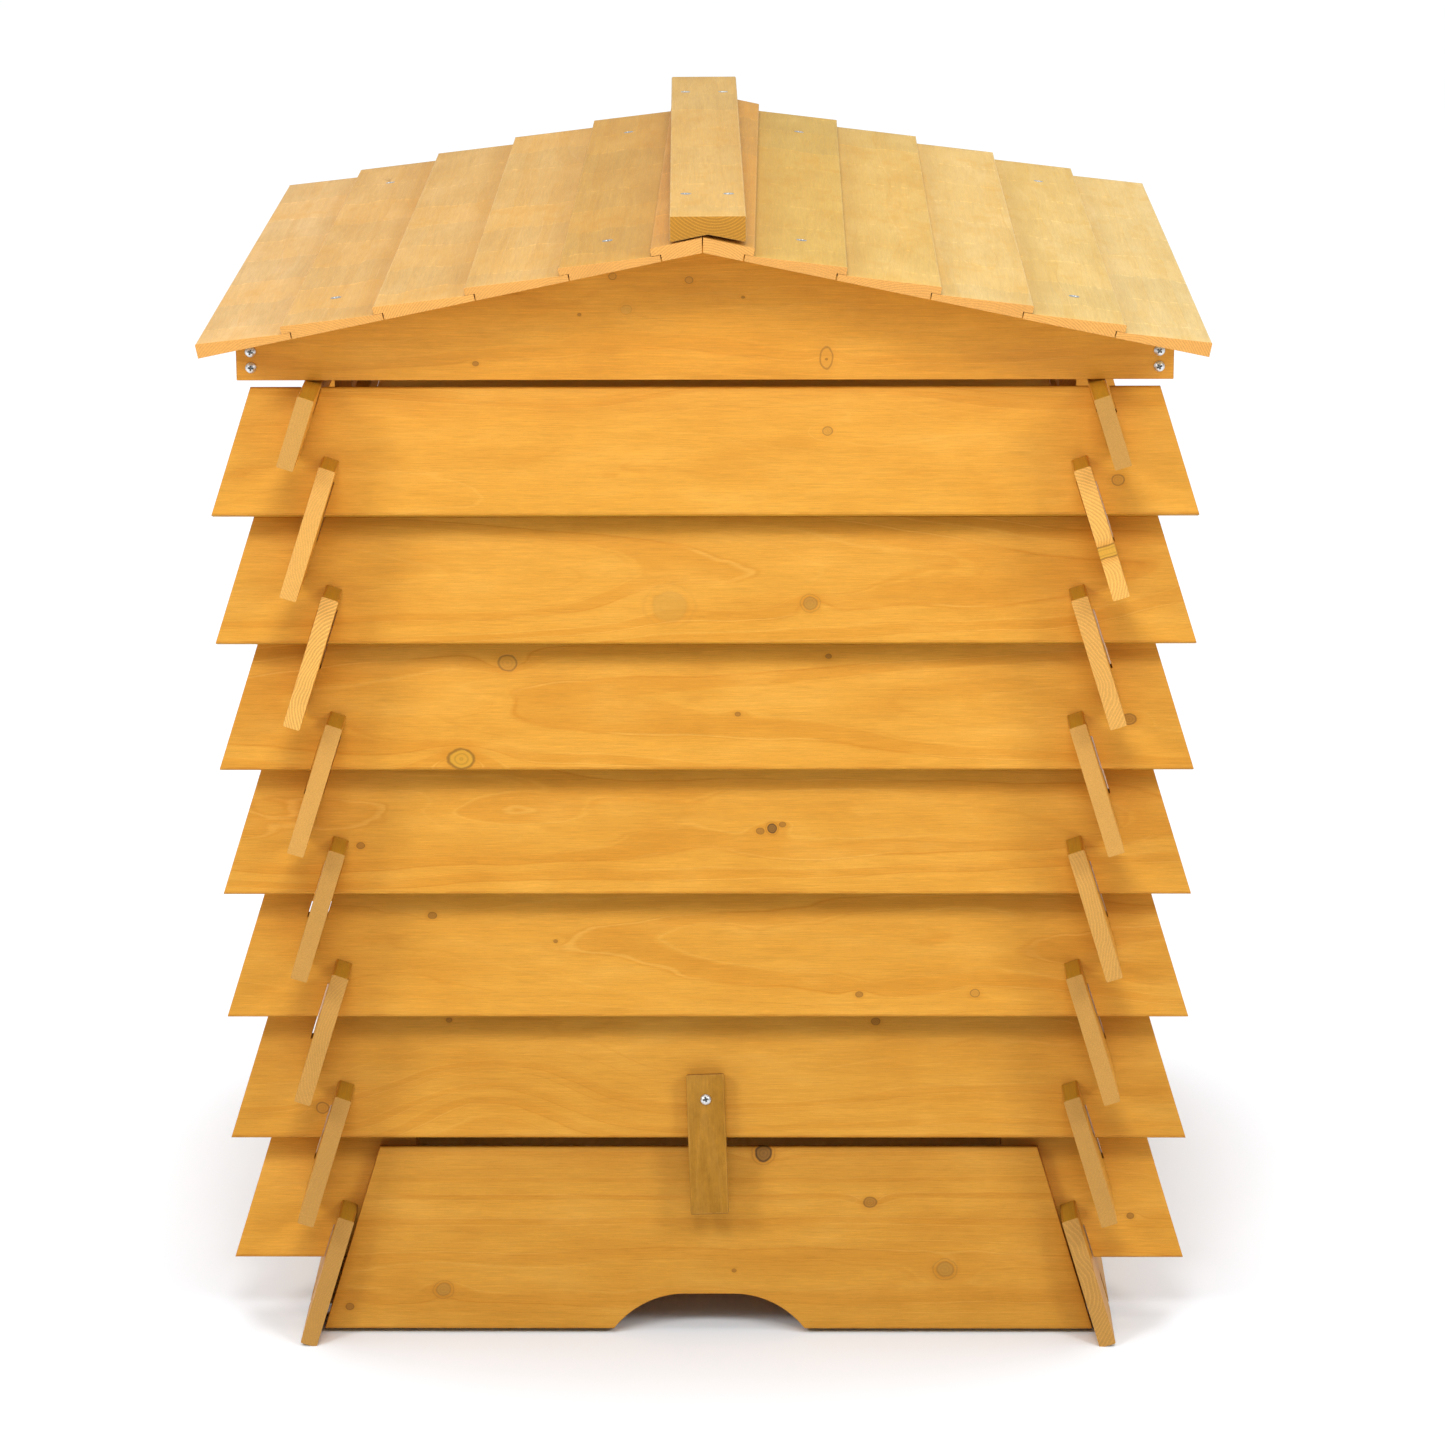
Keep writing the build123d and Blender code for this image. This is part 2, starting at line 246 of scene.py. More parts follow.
def wooden(shape, place, cuts, order, seed, bow=0.0, ground=False, origin=(0.0, 0.0, 0.0)):
    """Adds grain coordinates and a slight bow to a local shape, and moves it into place.

    order names the local axes that run along, across and through the wood; the grain is measured
    from origin."""
    mesh = applied(shape)
    for normal, places in cuts:
        slice_up(mesh, normal, places)
    grain = mesh.verts.layers.float_vector.new("grain")
    for vert in mesh.verts:
        vert[grain] = [vert.co[k] - origin[k] for k in order]
    end = mesh.faces.layers.float.new("end_face")
    edge = mesh.faces.layers.float.new("edge_face")
    arris = mesh.faces.layers.float.new("arris")
    mesh.normal_update()
    for face in mesh.faces:
        face[end] = 1.0 if abs(face.normal[order[0]]) > END_GRAIN_COSINE else 0.0
        face[edge] = 1.0 if abs(face.normal[order[1]]) > EDGE_FACE_COSINE else 0.0
        face[arris] = float(face.material_index)
        face.material_index = 0
    phase = random.Random(seed).uniform(0, math.tau)
    for vert in mesh.verts:
        vert.co[order[2]] += bow * math.sin(vert.co[order[0]] * BOW_WAVES + phase)
    mesh.transform(place)
    if ground:
        slice_up(mesh, (0, 0, 1), (0.0,), clear=True)
        bmesh.ops.holes_fill(mesh, edges=[edge for edge in mesh.edges if edge.is_boundary], sides=0)
    bmesh.ops.recalc_face_normals(mesh, faces=mesh.faces)
    smooth(mesh)
    mesh.to_mesh(shape.data)
    mesh.free()
    shape.data.materials.clear()
    return shape


def smooth(mesh):
    """Shades the mesh smooth, apart from its sharp edges."""
    for face in mesh.faces:
        face.smooth = True
    for edge in mesh.edges:
        edge.smooth = len(edge.link_faces) != 2 or edge.calc_face_angle(0) < SHARP_ANGLE


def even_cuts(half, step=SLICE_STEP):
    count = max(1, round(half / step))
    return [i * half / (count + 0.5) for i in range(-count, count + 1)]


# ---- wall boards
def leaning_place(node, side, width):
    """A wall board's place and the height of its lower outer edge. Locally x runs along, y up, z out."""
    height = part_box(node)[1].z - width * COS + CORNER_LOSS
    local = Matrix(((1, 0, 0, 0), (0, SIN, -COS, -SPAN), (0, COS, SIN, height), (0, 0, 0, 1)))
    return Matrix.Rotation(SIDE_TURNS[side], 4, "Z") @ local, height


def louvre_loop(depth, height, low, high, slots):
    """The outline of a slotted board at one depth below its face, as (x, up, out)."""
    def level(up):
        return height + up * COS - depth * SIN

    def up_at(z):
        return (z - height + depth * SIN) / COS

    def slot(cross, up):
        middle = SPAN - (level(up) - cross) * TAN
        return middle - (BOARD_THICK + SLOT_GAP_IN) / COS, middle + SLOT_GAP_OUT / COS

    def end(up):
        return BOARD_LENGTH / 2 - max(0.0, level(up) - height) * TAN

    right = [(end(low), low), (end(high), high)]
    if "low" in slots:
        cross = height - PITCH / 2
        roof = up_at(height + MEET_LOW + SLOT_GAP_END)
        foot, top = slot(cross, low), slot(cross, roof)
        right = [(foot[0], low), (top[0], roof), (top[1], roof), (foot[1], low)] + right
    if "high" in slots:
        cross = height + PITCH / 2
        floor = up_at(height + MEET_HIGH - SLOT_GAP_END)
        foot, top = slot(cross, floor), slot(cross, high)
        right += [(top[1], high), (foot[1], floor), (foot[0], floor), (top[0], high)]
    left = [(-x, up) for x, up in reversed(right)]
    return [(x, up, -depth) for x, up in right + left]


def long_edges(low, high):
    """Picks the edges that run along a board at its lower and upper edge."""
    def check(a, b):
        level = abs(a.y - b.y) < SAME and abs(a.z - b.z) < SAME
        return level and min(abs(a.y - low), abs(a.y - high)) < SAME
    return check


def louvre(node, side, seed, width=BOARD_WIDTH, low=0.0, slots=("low", "high"), ground=False, keep=0):
    """A slotted wall board; keep is -1 or 1 for a stub that ends beside the hatch."""
    place, height = leaning_place(node, side, width)
    loops = [louvre_loop(depth, height, low, width, slots) for depth in (0.0, BOARD_THICK)]
    if keep:
        loops = [stub_loop(loop, keep, low, width) for loop in loops]
    shape = loft(node, loops, BOARD_BEVEL, long_edges(low, width))
    cuts = [((1, 0, 0), even_cuts(BOARD_LENGTH / 2)), ((0, 1, 0), (width / 3, width * 2 / 3))]
    return wooden(shape, place, cuts, (0, 1, 2), seed, bow=BOARD_BOW, ground=ground)


def stub_loop(loop, keep, low, high):
    kept = [point for point in loop if point[0] * keep > 0]
    ends = [(keep * STUB_INNER, high, loop[0][2]), (keep * STUB_INNER, low, loop[0][2])]
    return kept + (ends if keep > 0 else ends[::-1])


# ---- hatch and turn button
def arch_points(low):
    """The hatch's arch from its left foot to its right foot, as (x, up), with a flat top."""
    flat, foot = ARCH_FLAT / 2, ARCH_WIDTH / 2
    start, stop = Vector((foot, low)), Vector((flat, low + ARCH_HEIGHT))
    # The centre of the arc that stands ARCH_BULGE of the chord's length above the chord.
    outward = Vector((ARCH_HEIGHT, foot - flat))
    centre = (start + stop) / 2 + outward * (ARCH_BULGE / 2 - 1 / (8 * ARCH_BULGE))
    radius = (start - centre).length
    first, last = (math.atan2(point.y - centre.y, point.x - centre.x) for point in (start, stop))
    turns = [first + (last - first) * i / ARCH_STEPS for i in range(ARCH_STEPS + 1)]
    right = [(centre.x + radius * math.cos(t), centre.y + radius * math.sin(t)) for t in turns]
    return [(ARCH_X - x, up) for x, up in right] + [(ARCH_X + x, up) for x, up in right[::-1]]


def hatch(node, seed):
    place, height = leaning_place("front_stub_left", "front", BOARD_WIDTH)
    # How far up its slope the hatch starts, measured from the stub boards' lower outer edge.
    low = (HATCH_GAP - height) / COS - HATCH_GAP * TAN
    high = low + HATCH_HEIGHT
    inside = SPAN - (BOARD_THICK + HATCH_END_GAP) / COS
    foot_height = height - PITCH / 2

    def loop(out):
        def end(up):
            return inside - (height + up * COS + out * SIN - foot_height) * TAN
        corners = [(end(low), low), (end(high), high), (-end(high), high), (-end(low), low)]
        return [(x, up, out) for x, up in corners + arch_points(low)]

    face = BOARD_THICK + HATCH_GAP
    shape = loft(node, [loop(face), loop(HATCH_GAP)], HATCH_BEVEL, long_edges(low, high))
    heights = [low + up for up in HATCH_SLICE_HEIGHTS]
    cuts = [((1, 0, 0), even_cuts(HATCH_SLICE_REACH)), ((0, 1, 0), heights)]
    return wooden(shape, place, cuts, (0, 1, 2), seed, bow=SLIM_BOW, origin=(0.0, low, face))


def on_pivot(out):
    """A place on the turn button's pivot, which stands square on front_board_6."""
    place = leaning_place("front_board_6", "front", BOARD_WIDTH)[0]
    pivot = next(joint for joint in frame["joints"] if joint["child"] == "turn_button")["pos_m"]
    return place @ Matrix.Translation((pivot[0], PIVOT_UP, out))


def turn_button(node, seed):
    place = on_pivot(HATCH_GAP) @ Matrix.Rotation(BUTTON_TILT, 4, "Z")
    half, top = BUTTON[0] / 2, PIVOT_FROM_END
    bottom = top - BUTTON[1]
    outline = [(half, bottom), (half, top), (-half, top), (-half, bottom)]
    loops = [[(x, y, z) for x, y in outline] for z in (BUTTON[2], 0.0)]
    shape = loft(node, loops, BUTTON_BEVEL, every_edge)
    drill(shape, [Matrix.Translation((0.0, 0.0, BUTTON[2]))], HOLE_RADIUS, 2 * BUTTON[2])
    slices = [top - BUTTON[1] * i / BUTTON_SLICES for i in range(1, BUTTON_SLICES)]
    return wooden(shape, place, [((0, 1, 0), slices)], (1, 0, 2), seed)


def drill(shape, places, mouth, length):
    """Adds a modifier that cuts screw holes, which widen to the radius mouth at the surface."""
    mesh = bmesh.new()
    profile = [
        (HOLE_RADIUS, -length), (HOLE_RADIUS, -SINK_HEIGHT), (mouth, 0.0), (mouth, HOLE_OVERSHOOT)]
    for place in places:
        rings = []
        for radius, z in profile:
            angles = [math.tau * i / SCREW_SIDES for i in range(SCREW_SIDES)]
            points = [Vector((radius * math.cos(a), radius * math.sin(a), z)) for a in angles]
            rings.append([mesh.verts.new(place @ point) for point in points])
        mesh.faces.new(rings[0][::-1])
        mesh.faces.new(rings[-1])
        for lower, upper in zip(rings, rings[1:]):
            for i in range(SCREW_SIDES):
                j = (i + 1) % SCREW_SIDES
                mesh.faces.new((lower[i], lower[j], upper[j], upper[i]))
    bmesh.ops.recalc_face_normals(mesh, faces=mesh.faces)
    holes = shape.modifiers.new("holes", "BOOLEAN")
    holes.object = new_object("drill", mesh)
    holes.solver = "EXACT"


# ---- roof
def roof_point(along, up, sign):
    x = along * math.cos(ROOF_SLOPE) + up * math.sin(ROOF_SLOPE)
    z = ROOF_APEX - along * math.sin(ROOF_SLOPE) + up * math.cos(ROOF_SLOPE)
    return sign * x, z


def under_roof(x, drop=0.0):
    return ROOF_APEX - abs(x) * math.tan(ROOF_SLOPE) - drop / math.cos(ROOF_SLOPE)


def roof_outline(row):
    """A tapered board's section as (distance down the slope, height above its underside)."""
    butt = BUTT_PLACES[row - 1]
    heel, lip = butt - ROOF_LIP, ROOF_THIN + ROOF_JOINT_GAP
    lower = [(butt, 0), (butt, ROOF_BUTT)]
    if row > 1:
        lower = [(heel, 0), (heel, lip), (butt, lip), (butt, ROOF_BUTT)]
    if row == len(BUTT_PLACES):
        seam = RIDGE_GAP / math.cos(ROOF_SLOPE)
        return lower + [(seam - ROOF_BUTT * math.tan(ROOF_SLOPE), ROOF_BUTT), (seam, 0)]
    next_butt = BUTT_PLACES[row]
    thin_end = next_butt - ROOF_LIP + ROOF_TONGUE_GAP
    return lower + [(next_butt, ROOF_THIN), (thin_end, ROOF_THIN), (thin_end, 0)]


def roof_board(node, row, sign, seed):
    """Locally x runs down the slope from near the board's middle, y along it and z up."""
    low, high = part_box(node)
    middle = BUTT_PLACES[row - 1] - ROOF_ORIGIN_FROM_BUTT
    x, z = roof_point(middle, 0, sign)
    run, rise = math.cos(ROOF_SLOPE), math.sin(ROOF_SLOPE)
    place = Matrix(((sign * run, 0, sign * rise, x), (0, 1, 0, 0), (-rise, 0, run, z), (0, 0, 0, 1)))
    loops = [[(along - middle, y, up) for along, up in roof_outline(row)] for y in (low.y, high.y)]

    def at_butt(a, b):
        runs_along = abs(a.x - b.x) < MERGE and abs(a.z - b.z) < MERGE
        return runs_along and abs(a.x - ROOF_ORIGIN_FROM_BUTT) < SAME and a.z > 2 * ROOF_THIN

    shape = loft(node, loops, ROOF_BEVEL, at_butt)
    cuts = [((0, 1, 0), even_cuts(high.y)), ((1, 0, 0), ROOF_SLICES)]
    if row in ROOF_SCREW_BOARDS:
        countersink(shape, place, roof_screw_places(row, sign), ROOF_SCREW_LENGTH)
    return wooden(shape, place, cuts, (1, 0, 2), seed, bow=SLIM_BOW)


def countersink(shape, place, holes, length):
    """Drills a local shape for flush screws, whose places are given in the whole object's frame."""
    drill(shape, [place.inverted() @ hole for hole in holes], HEAD_RADIUS + HOLE_GAP, length)


def prism(name, outline, low, high, order, seed, bevel=FRAME_BEVEL, place=Matrix.Identity(4), holes=()):
    """A piece with a straight section in x and z, from y low to y high, with countersunk holes."""
    loops = [[(x, y, z) for x, z in outline] for y in (low, high)]
    shape = loft(name, loops, bevel, every_edge)
    reach = max(abs(point[order[0]]) for loop in loops for point in loop)
    normal = [1.0 if k == order[0] else 0.0 for k in range(3)]
    if holes:
        countersink(shape, place, holes, CAP_SCREW_LENGTH)
    return wooden(shape, place, [(normal, even_cuts(reach, FRAME_SLICE_STEP))], order, seed)


def roof_bearer(node, order, seed, ridge=()):
    """A gable or a rail, with a level foot and its top under the roof."""
    low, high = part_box(node)
    outline = [
        (low.x, low.z), (high.x, low.z), (high.x, under_roof(high.x)), *ridge,
        (low.x, under_roof(low.x))]
    return prism(node, outline, low.y, high.y, order, seed)


def batten_pair(node, inner, order, seed, foot=None):
    """The two pieces of a node, one on each side of the ridge, that start at x = inner.

    They lie between the roof and the rafters' underside, or stand on the height foot."""
    low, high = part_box(node)
    outline = [(x, under_roof(x) if foot is None else foot) for x in (inner, high.x)]
    outline += [(x, under_roof(x, RAFTER_DEPTH)) for x in (high.x, inner)]
    pair = []
    for name, sign in SIDES:
        points = [(sign * x, z) for x, z in outline]
        pair.append(prism(f"{node}_{name}", points, low.y, high.y, order, seed + sign))
    return pair


def ridge_cap(node, seed):
    half, top = CAP_WIDTH / 2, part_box(node)[1].z
    outline = [(-half, CAP_EDGE), (0, CAP_GROOVE), (half, CAP_EDGE), (half, top), (-half, top)]
    half_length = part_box("roof_left_board_1")[1].y
    place = Matrix.Translation((CAP_SHIFT, 0, 0)) @ Matrix.Rotation(CAP_SKEW, 4, "Z")
    return prism(
        node, outline, -half_length, half_length, (1, 0, 2), seed, CAP_BEVEL, place, cap_screw_places())


# ---- screws
def screw_profile(pan, length):
    """Rings of a screw from the middle of its head to its tip, as (radius, height, kind)."""
    rings = [(HEAD_RADIUS * i / HEAD_RINGS, 0.0, "head") for i in range(1, HEAD_RINGS + 1)]
    if pan:
        centre = PAN_HEIGHT - DOME_RADIUS
        rings = [(r, centre + math.sqrt(DOME_RADIUS ** 2 - r * r), kind) for r, z, kind in rings]
        rings += [(HEAD_RADIUS, RIM_DROP, "plain"), (RIM_RADIUS, 0.0, "plain")]
        neck = 0.0
    else:
        rings += [(RIM_RADIUS, -RIM_DROP, "plain")]
        neck = -SINK_HEIGHT
    rings.append((SHANK_RADIUS, neck - NECK_DROP, "plain"))
    turns = (length + neck) / THREAD_PITCH
    steps = int(turns * THREAD_STEPS)
    for i in range(1, steps):
        z = neck - NECK_DROP - (length + neck) * i / steps
        left = min(1.0, (z + length) / TIP_LENGTH)
        rings.append((max(TIP_RADIUS, SHANK_RADIUS * left), z, "thread"))
    return rings


def cross_depth(x, y):
    """How deep the driver's cross is cut at a point of the head."""
    near, far = sorted((abs(x), abs(y)))
    wall = max(0.0, min(1.0, (RECESS_WIDTH / 2 - near) / RECESS_WALL + 0.5))
    reach = max(0.0, min(1.0, (RECESS_LENGTH / 2 - far) / RECESS_RUN_OUT))
    return RECESS_DEPTH * wall * reach


def add_screw(mesh, place, pan, length, turn):
    rings = screw_profile(pan, length)
    top = rings[0][1]
    middle = mesh.verts.new(place @ Vector((0, 0, top - RECESS_DEPTH)))
    recess = mesh.verts.layers.float["recess"]
    middle[recess] = 1.0
    last = None
    for radius, z, kind in rings:
        ring = []
        for i in range(SCREW_SIDES):
            angle = math.tau * i / SCREW_SIDES
            r, depth = radius, 0.0
            if kind == "head":
                x, y = radius * math.cos(angle - turn), radius * math.sin(angle - turn)
                depth = cross_depth(x, y)
            if kind == "thread":
                wave = (z / THREAD_PITCH + i / SCREW_SIDES) % 1.0
                r = radius * (1.0 - THREAD_DEPTH * abs(2 * wave - 1) ** THREAD_SHAPE)
            point = Vector((r * math.cos(angle), r * math.sin(angle), z - depth))
            ring.append(mesh.verts.new(place @ point))
            ring[-1][recess] = depth / RECESS_DEPTH
        for i in range(SCREW_SIDES):
            j = (i + 1) % SCREW_SIDES
            corners = (last[i], ring[i], ring[j], last[j]) if last else (middle, ring[i], ring[j])
            mesh.faces.new(corners)
        last = ring
    tip = mesh.verts.new(place @ Vector((0, 0, -length)))
    for i in range(SCREW_SIDES):
        mesh.faces.new((last[i], tip, last[(i + 1) % SCREW_SIDES]))


def screws(node, places, pan, length, seed):
    mesh = bmesh.new()
    # recess holds how deep the driver's cross is cut; the zinc material paints shade there.
    mesh.verts.layers.float.new("recess")
    draw = random.Random(seed)
    for place in places:
        add_screw(mesh, place, pan, length, draw.uniform(0, math.pi / 2))
    bmesh.ops.recalc_face_normals(mesh, faces=mesh.faces)
    smooth(mesh)
    return new_object(node + "_zinc", mesh)


def facing(origin, normal):
    """A place at origin whose z axis is normal."""
    turn = Vector((0, 0, 1)).rotation_difference(Vector(normal)).to_matrix().to_4x4()
    return Matrix.Translation(origin) @ turn


def gable_screw_places():
    places = []
    for sign, node in ((-1, "front_gable"), (1, "back_gable")):
        low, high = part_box(node)
        face = low.y if sign < 0 else high.y
        for x in (-GABLE_SCREW_X, GABLE_SCREW_X):
            places += [facing((x, face, z), (0, sign, 0)) for z in GABLE_SCREW_HEIGHTS]
    return places


def roof_screw_places(row, sign):
    """The two screws of one roof board."""
    butt = BUTT_PLACES[row - 1]
    taper = (ROOF_BUTT - ROOF_THIN) / (butt - BUTT_PLACES[row])
    tilt = ROOF_SLOPE - math.atan(taper)
    x, z = roof_point(butt - ROOF_SCREW_FROM_BUTT, ROOF_BUTT - taper * ROOF_SCREW_FROM_BUTT, sign)
    normal = (sign * math.sin(tilt), 0, math.cos(tilt))
    return [facing((x, y, z), normal) for y in (-ROOF_SCREW_Y, ROOF_SCREW_Y)]


def cap_screw_places():
    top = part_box("ridge_cap")[1].z
    places = []
    for y in CAP_SCREW_ROWS:
        drift = CAP_SHIFT - y * math.tan(CAP_SKEW)
        places += [facing((x + drift, y, top), (0, 0, 1)) for x in (-CAP_SCREW_X, CAP_SCREW_X)]
    return places


# ---- node trees
class Nodes:
    """Short names for adding shader nodes. A socket or a plain value may be given for any input."""

    def __init__(self, tree):
        self.tree = tree
        tree.nodes.clear()

    def add(self, kind, inputs, **settings):
        node = self.tree.nodes.new(kind)
        for name, value in settings.items():
            setattr(node, name, value)
        for name, value in inputs.items():
            if isinstance(value, bpy.types.NodeSocket):
                self.tree.links.new(value, node.inputs[name])
            else:
                node.inputs[name].default_value = value
        return node

    def group(self, tree, inputs):
        return self.add("ShaderNodeGroup", inputs, node_tree=tree).outputs

    def math(self, operation, *values):
        return self.add("ShaderNodeMath", dict(enumerate(values)), operation=operation).outputs[0]

    def total(self, first, *others):
        for value in others:
            first = self.math("ADD", first, value)
        return first

    def times(self, first, *others):
        for value in others:
            first = self.math("MULTIPLY", first, value)
        return first

    def scale_add(self, value, factor, offset):
        return self.math("MULTIPLY_ADD", value, factor, offset)

    def less(self, first, second):
        return self.math("SUBTRACT", first, second)

    def about_zero(self, pattern, amount):
        """A pattern from 0 to 1, turned into one about zero that is as wide as amount."""
        return self.times(self.less(pattern, 0.5), amount)

    def squares(self, a, b):
        return self.total(self.times(a, a), self.times(b, b))

    def hump(self, a, b):
        """A smooth hump, 1 high where a and b are both zero."""
        return self.math("EXPONENT", self.times(self.squares(a, b), -1.0))

    def vector(self, operation, *values):
        return self.add("ShaderNodeVectorMath", dict(enumerate(values)), operation=operation).outputs[0]

    def split(self, vector):
        return self.add("ShaderNodeSeparateXYZ", {0: vector}).outputs

    def join(self, *values):
        return self.add("ShaderNodeCombineXYZ", dict(enumerate(values))).outputs[0]

    def noise(self, vector, stretch, detail=2.0, roughness=0.5):
        """Noise from 0 to 1, finer along an axis with a larger stretch."""
        inputs = {"Vector": self.vector("MULTIPLY", vector, stretch), "Scale": 1.0}
        inputs.update({"Detail": detail, "Roughness": roughness})
        return self.add("ShaderNodeTexNoise", inputs).outputs[0]

    def random(self, value):
        return self.add("ShaderNodeTexWhiteNoise", {"W": value}, noise_dimensions="1D").outputs["Value"]

    def ramp(self, value, low, high, to_low=0.0, to_high=1.0):
        """A smooth step from to_low at low to to_high at high."""
        inputs = {0: value, 1: low, 2: high, 3: to_low, 4: to_high}
        return self.add("ShaderNodeMapRange", inputs, interpolation_type="SMOOTHSTEP").outputs[0]

    def line(self, value, rise, fall):
        """A line that comes in smoothly over the range rise and goes out over the range fall."""
        return self.times(self.ramp(value, *rise), self.ramp(value, *fall, 1.0, 0.0))

    def mix(self, factor, a, b, blend="MIX"):
        node = self.add("ShaderNodeMix", {0: factor, 6: a, 7: b}, data_type="RGBA", blend_type=blend)
        return node.outputs[2]

    def scaled(self, colour, value):
        return self.mix(1.0, colour, self.join(value, value, value), "MULTIPLY")

    def swelling(self, grain, along, across, half_length, half_width, height):
        """A smooth hump in the grain, as tall as `height` in its middle."""
        middle = self.vector("SUBTRACT", grain, (along, across, 0.0))
        local = self.split(self.vector("MULTIPLY", middle, (1 / half_length, 1 / half_width, 0.0)))
        return self.times(self.hump(local[0], local[1]), height)

    def attribute(self, name, output="Fac"):
        return self.add("ShaderNodeAttribute", {}, attribute_name=name).outputs[output]

    def surface(self, inputs):
        shader = self.add("ShaderNodeBsdfPrincipled", inputs)
        self.add("ShaderNodeOutputMaterial", {"Surface": shader.outputs[0]})


def new_group(name, inputs, outputs):
    """A node group with sockets of those names and kinds, and its Nodes helper."""
    group = bpy.data.node_groups.new(name, "ShaderNodeTree")
    nodes = Nodes(group)
    for direction, sockets in (("INPUT", inputs), ("OUTPUT", outputs)):
        for socket, kind in sockets.items():
            group.interface.new_socket(socket, in_out=direction, socket_type="NodeSocket" + kind)
    given = nodes.add("NodeGroupInput", {}).outputs
    return group, nodes, given


def new_material(name):
    material = bpy.data.materials.new(name)
    material.use_nodes = True
    return material, Nodes(material.node_tree)


def colour(red, green, blue):
    """A colour given in the usual 0 to 255 screen values, as a linear one."""
    def linear(value):
        share = value / 255
        return share / 12.92 if share <= 0.04045 else ((share + 0.055) / 1.055) ** 2.4
    return linear(red), linear(green), linear(blue), 1.0


def knot_group():
    """A knot at one place on a board: how far it pushes the rings, and the parts that show.

    Sizes are shares of the knot's radius: its core ends near 1, and the halo fades out at 2.3."""
    inputs = {"Grain": "Vector", **dict.fromkeys(("Along", "Across", "Radius", "Width"), "Float")}
    outputs = dict.fromkeys(("Push", "Core", "Rim", "Halo", "Rings", "Outer"), "Float")
    group, n, given = new_group("knot", inputs, outputs)
    x, u = n.split(given["Grain"])[:2]
    wobble = n.less(n.noise(given["Grain"], (0.16, 0.16, 0.16), 3.0), 0.5)
    dx = n.math("DIVIDE", n.less(x, given["Along"]), given["Width"])
    du = n.less(u, given["Across"])
    size = n.math("DIVIDE", n.math("SQRT", n.squares(dx, du)), given["Radius"])
    size = n.times(size, n.scale_add(wobble, 0.35, 1.0))
    near = n.math("DIVIDE", dx, n.times(given["Radius"], 3.2))
    side = n.math("DIVIDE", du, n.times(given["Radius"], 1.7))
    n.add("NodeGroupOutput", {
        "Push": n.times(n.hump(near, side), given["Radius"]),
        "Core": n.ramp(size, 0.85, 1.05, 1.0, 0.0),
        "Rim": n.line(size, (0.78, 0.98), (1.0, 1.18)),
        "Halo": n.ramp(size, 0.9, 2.3, 1.0, 0.0),
        "Rings": n.times(n.math("SINE", n.times(size, 15.0)), 0.5),
        "Outer": n.line(size, (1.3, 1.42), (1.44, 1.6)),
    })
    return group


WOOD_PARTS = ("Base", "Pale", "Deep", "End", "Edge", "Arris")


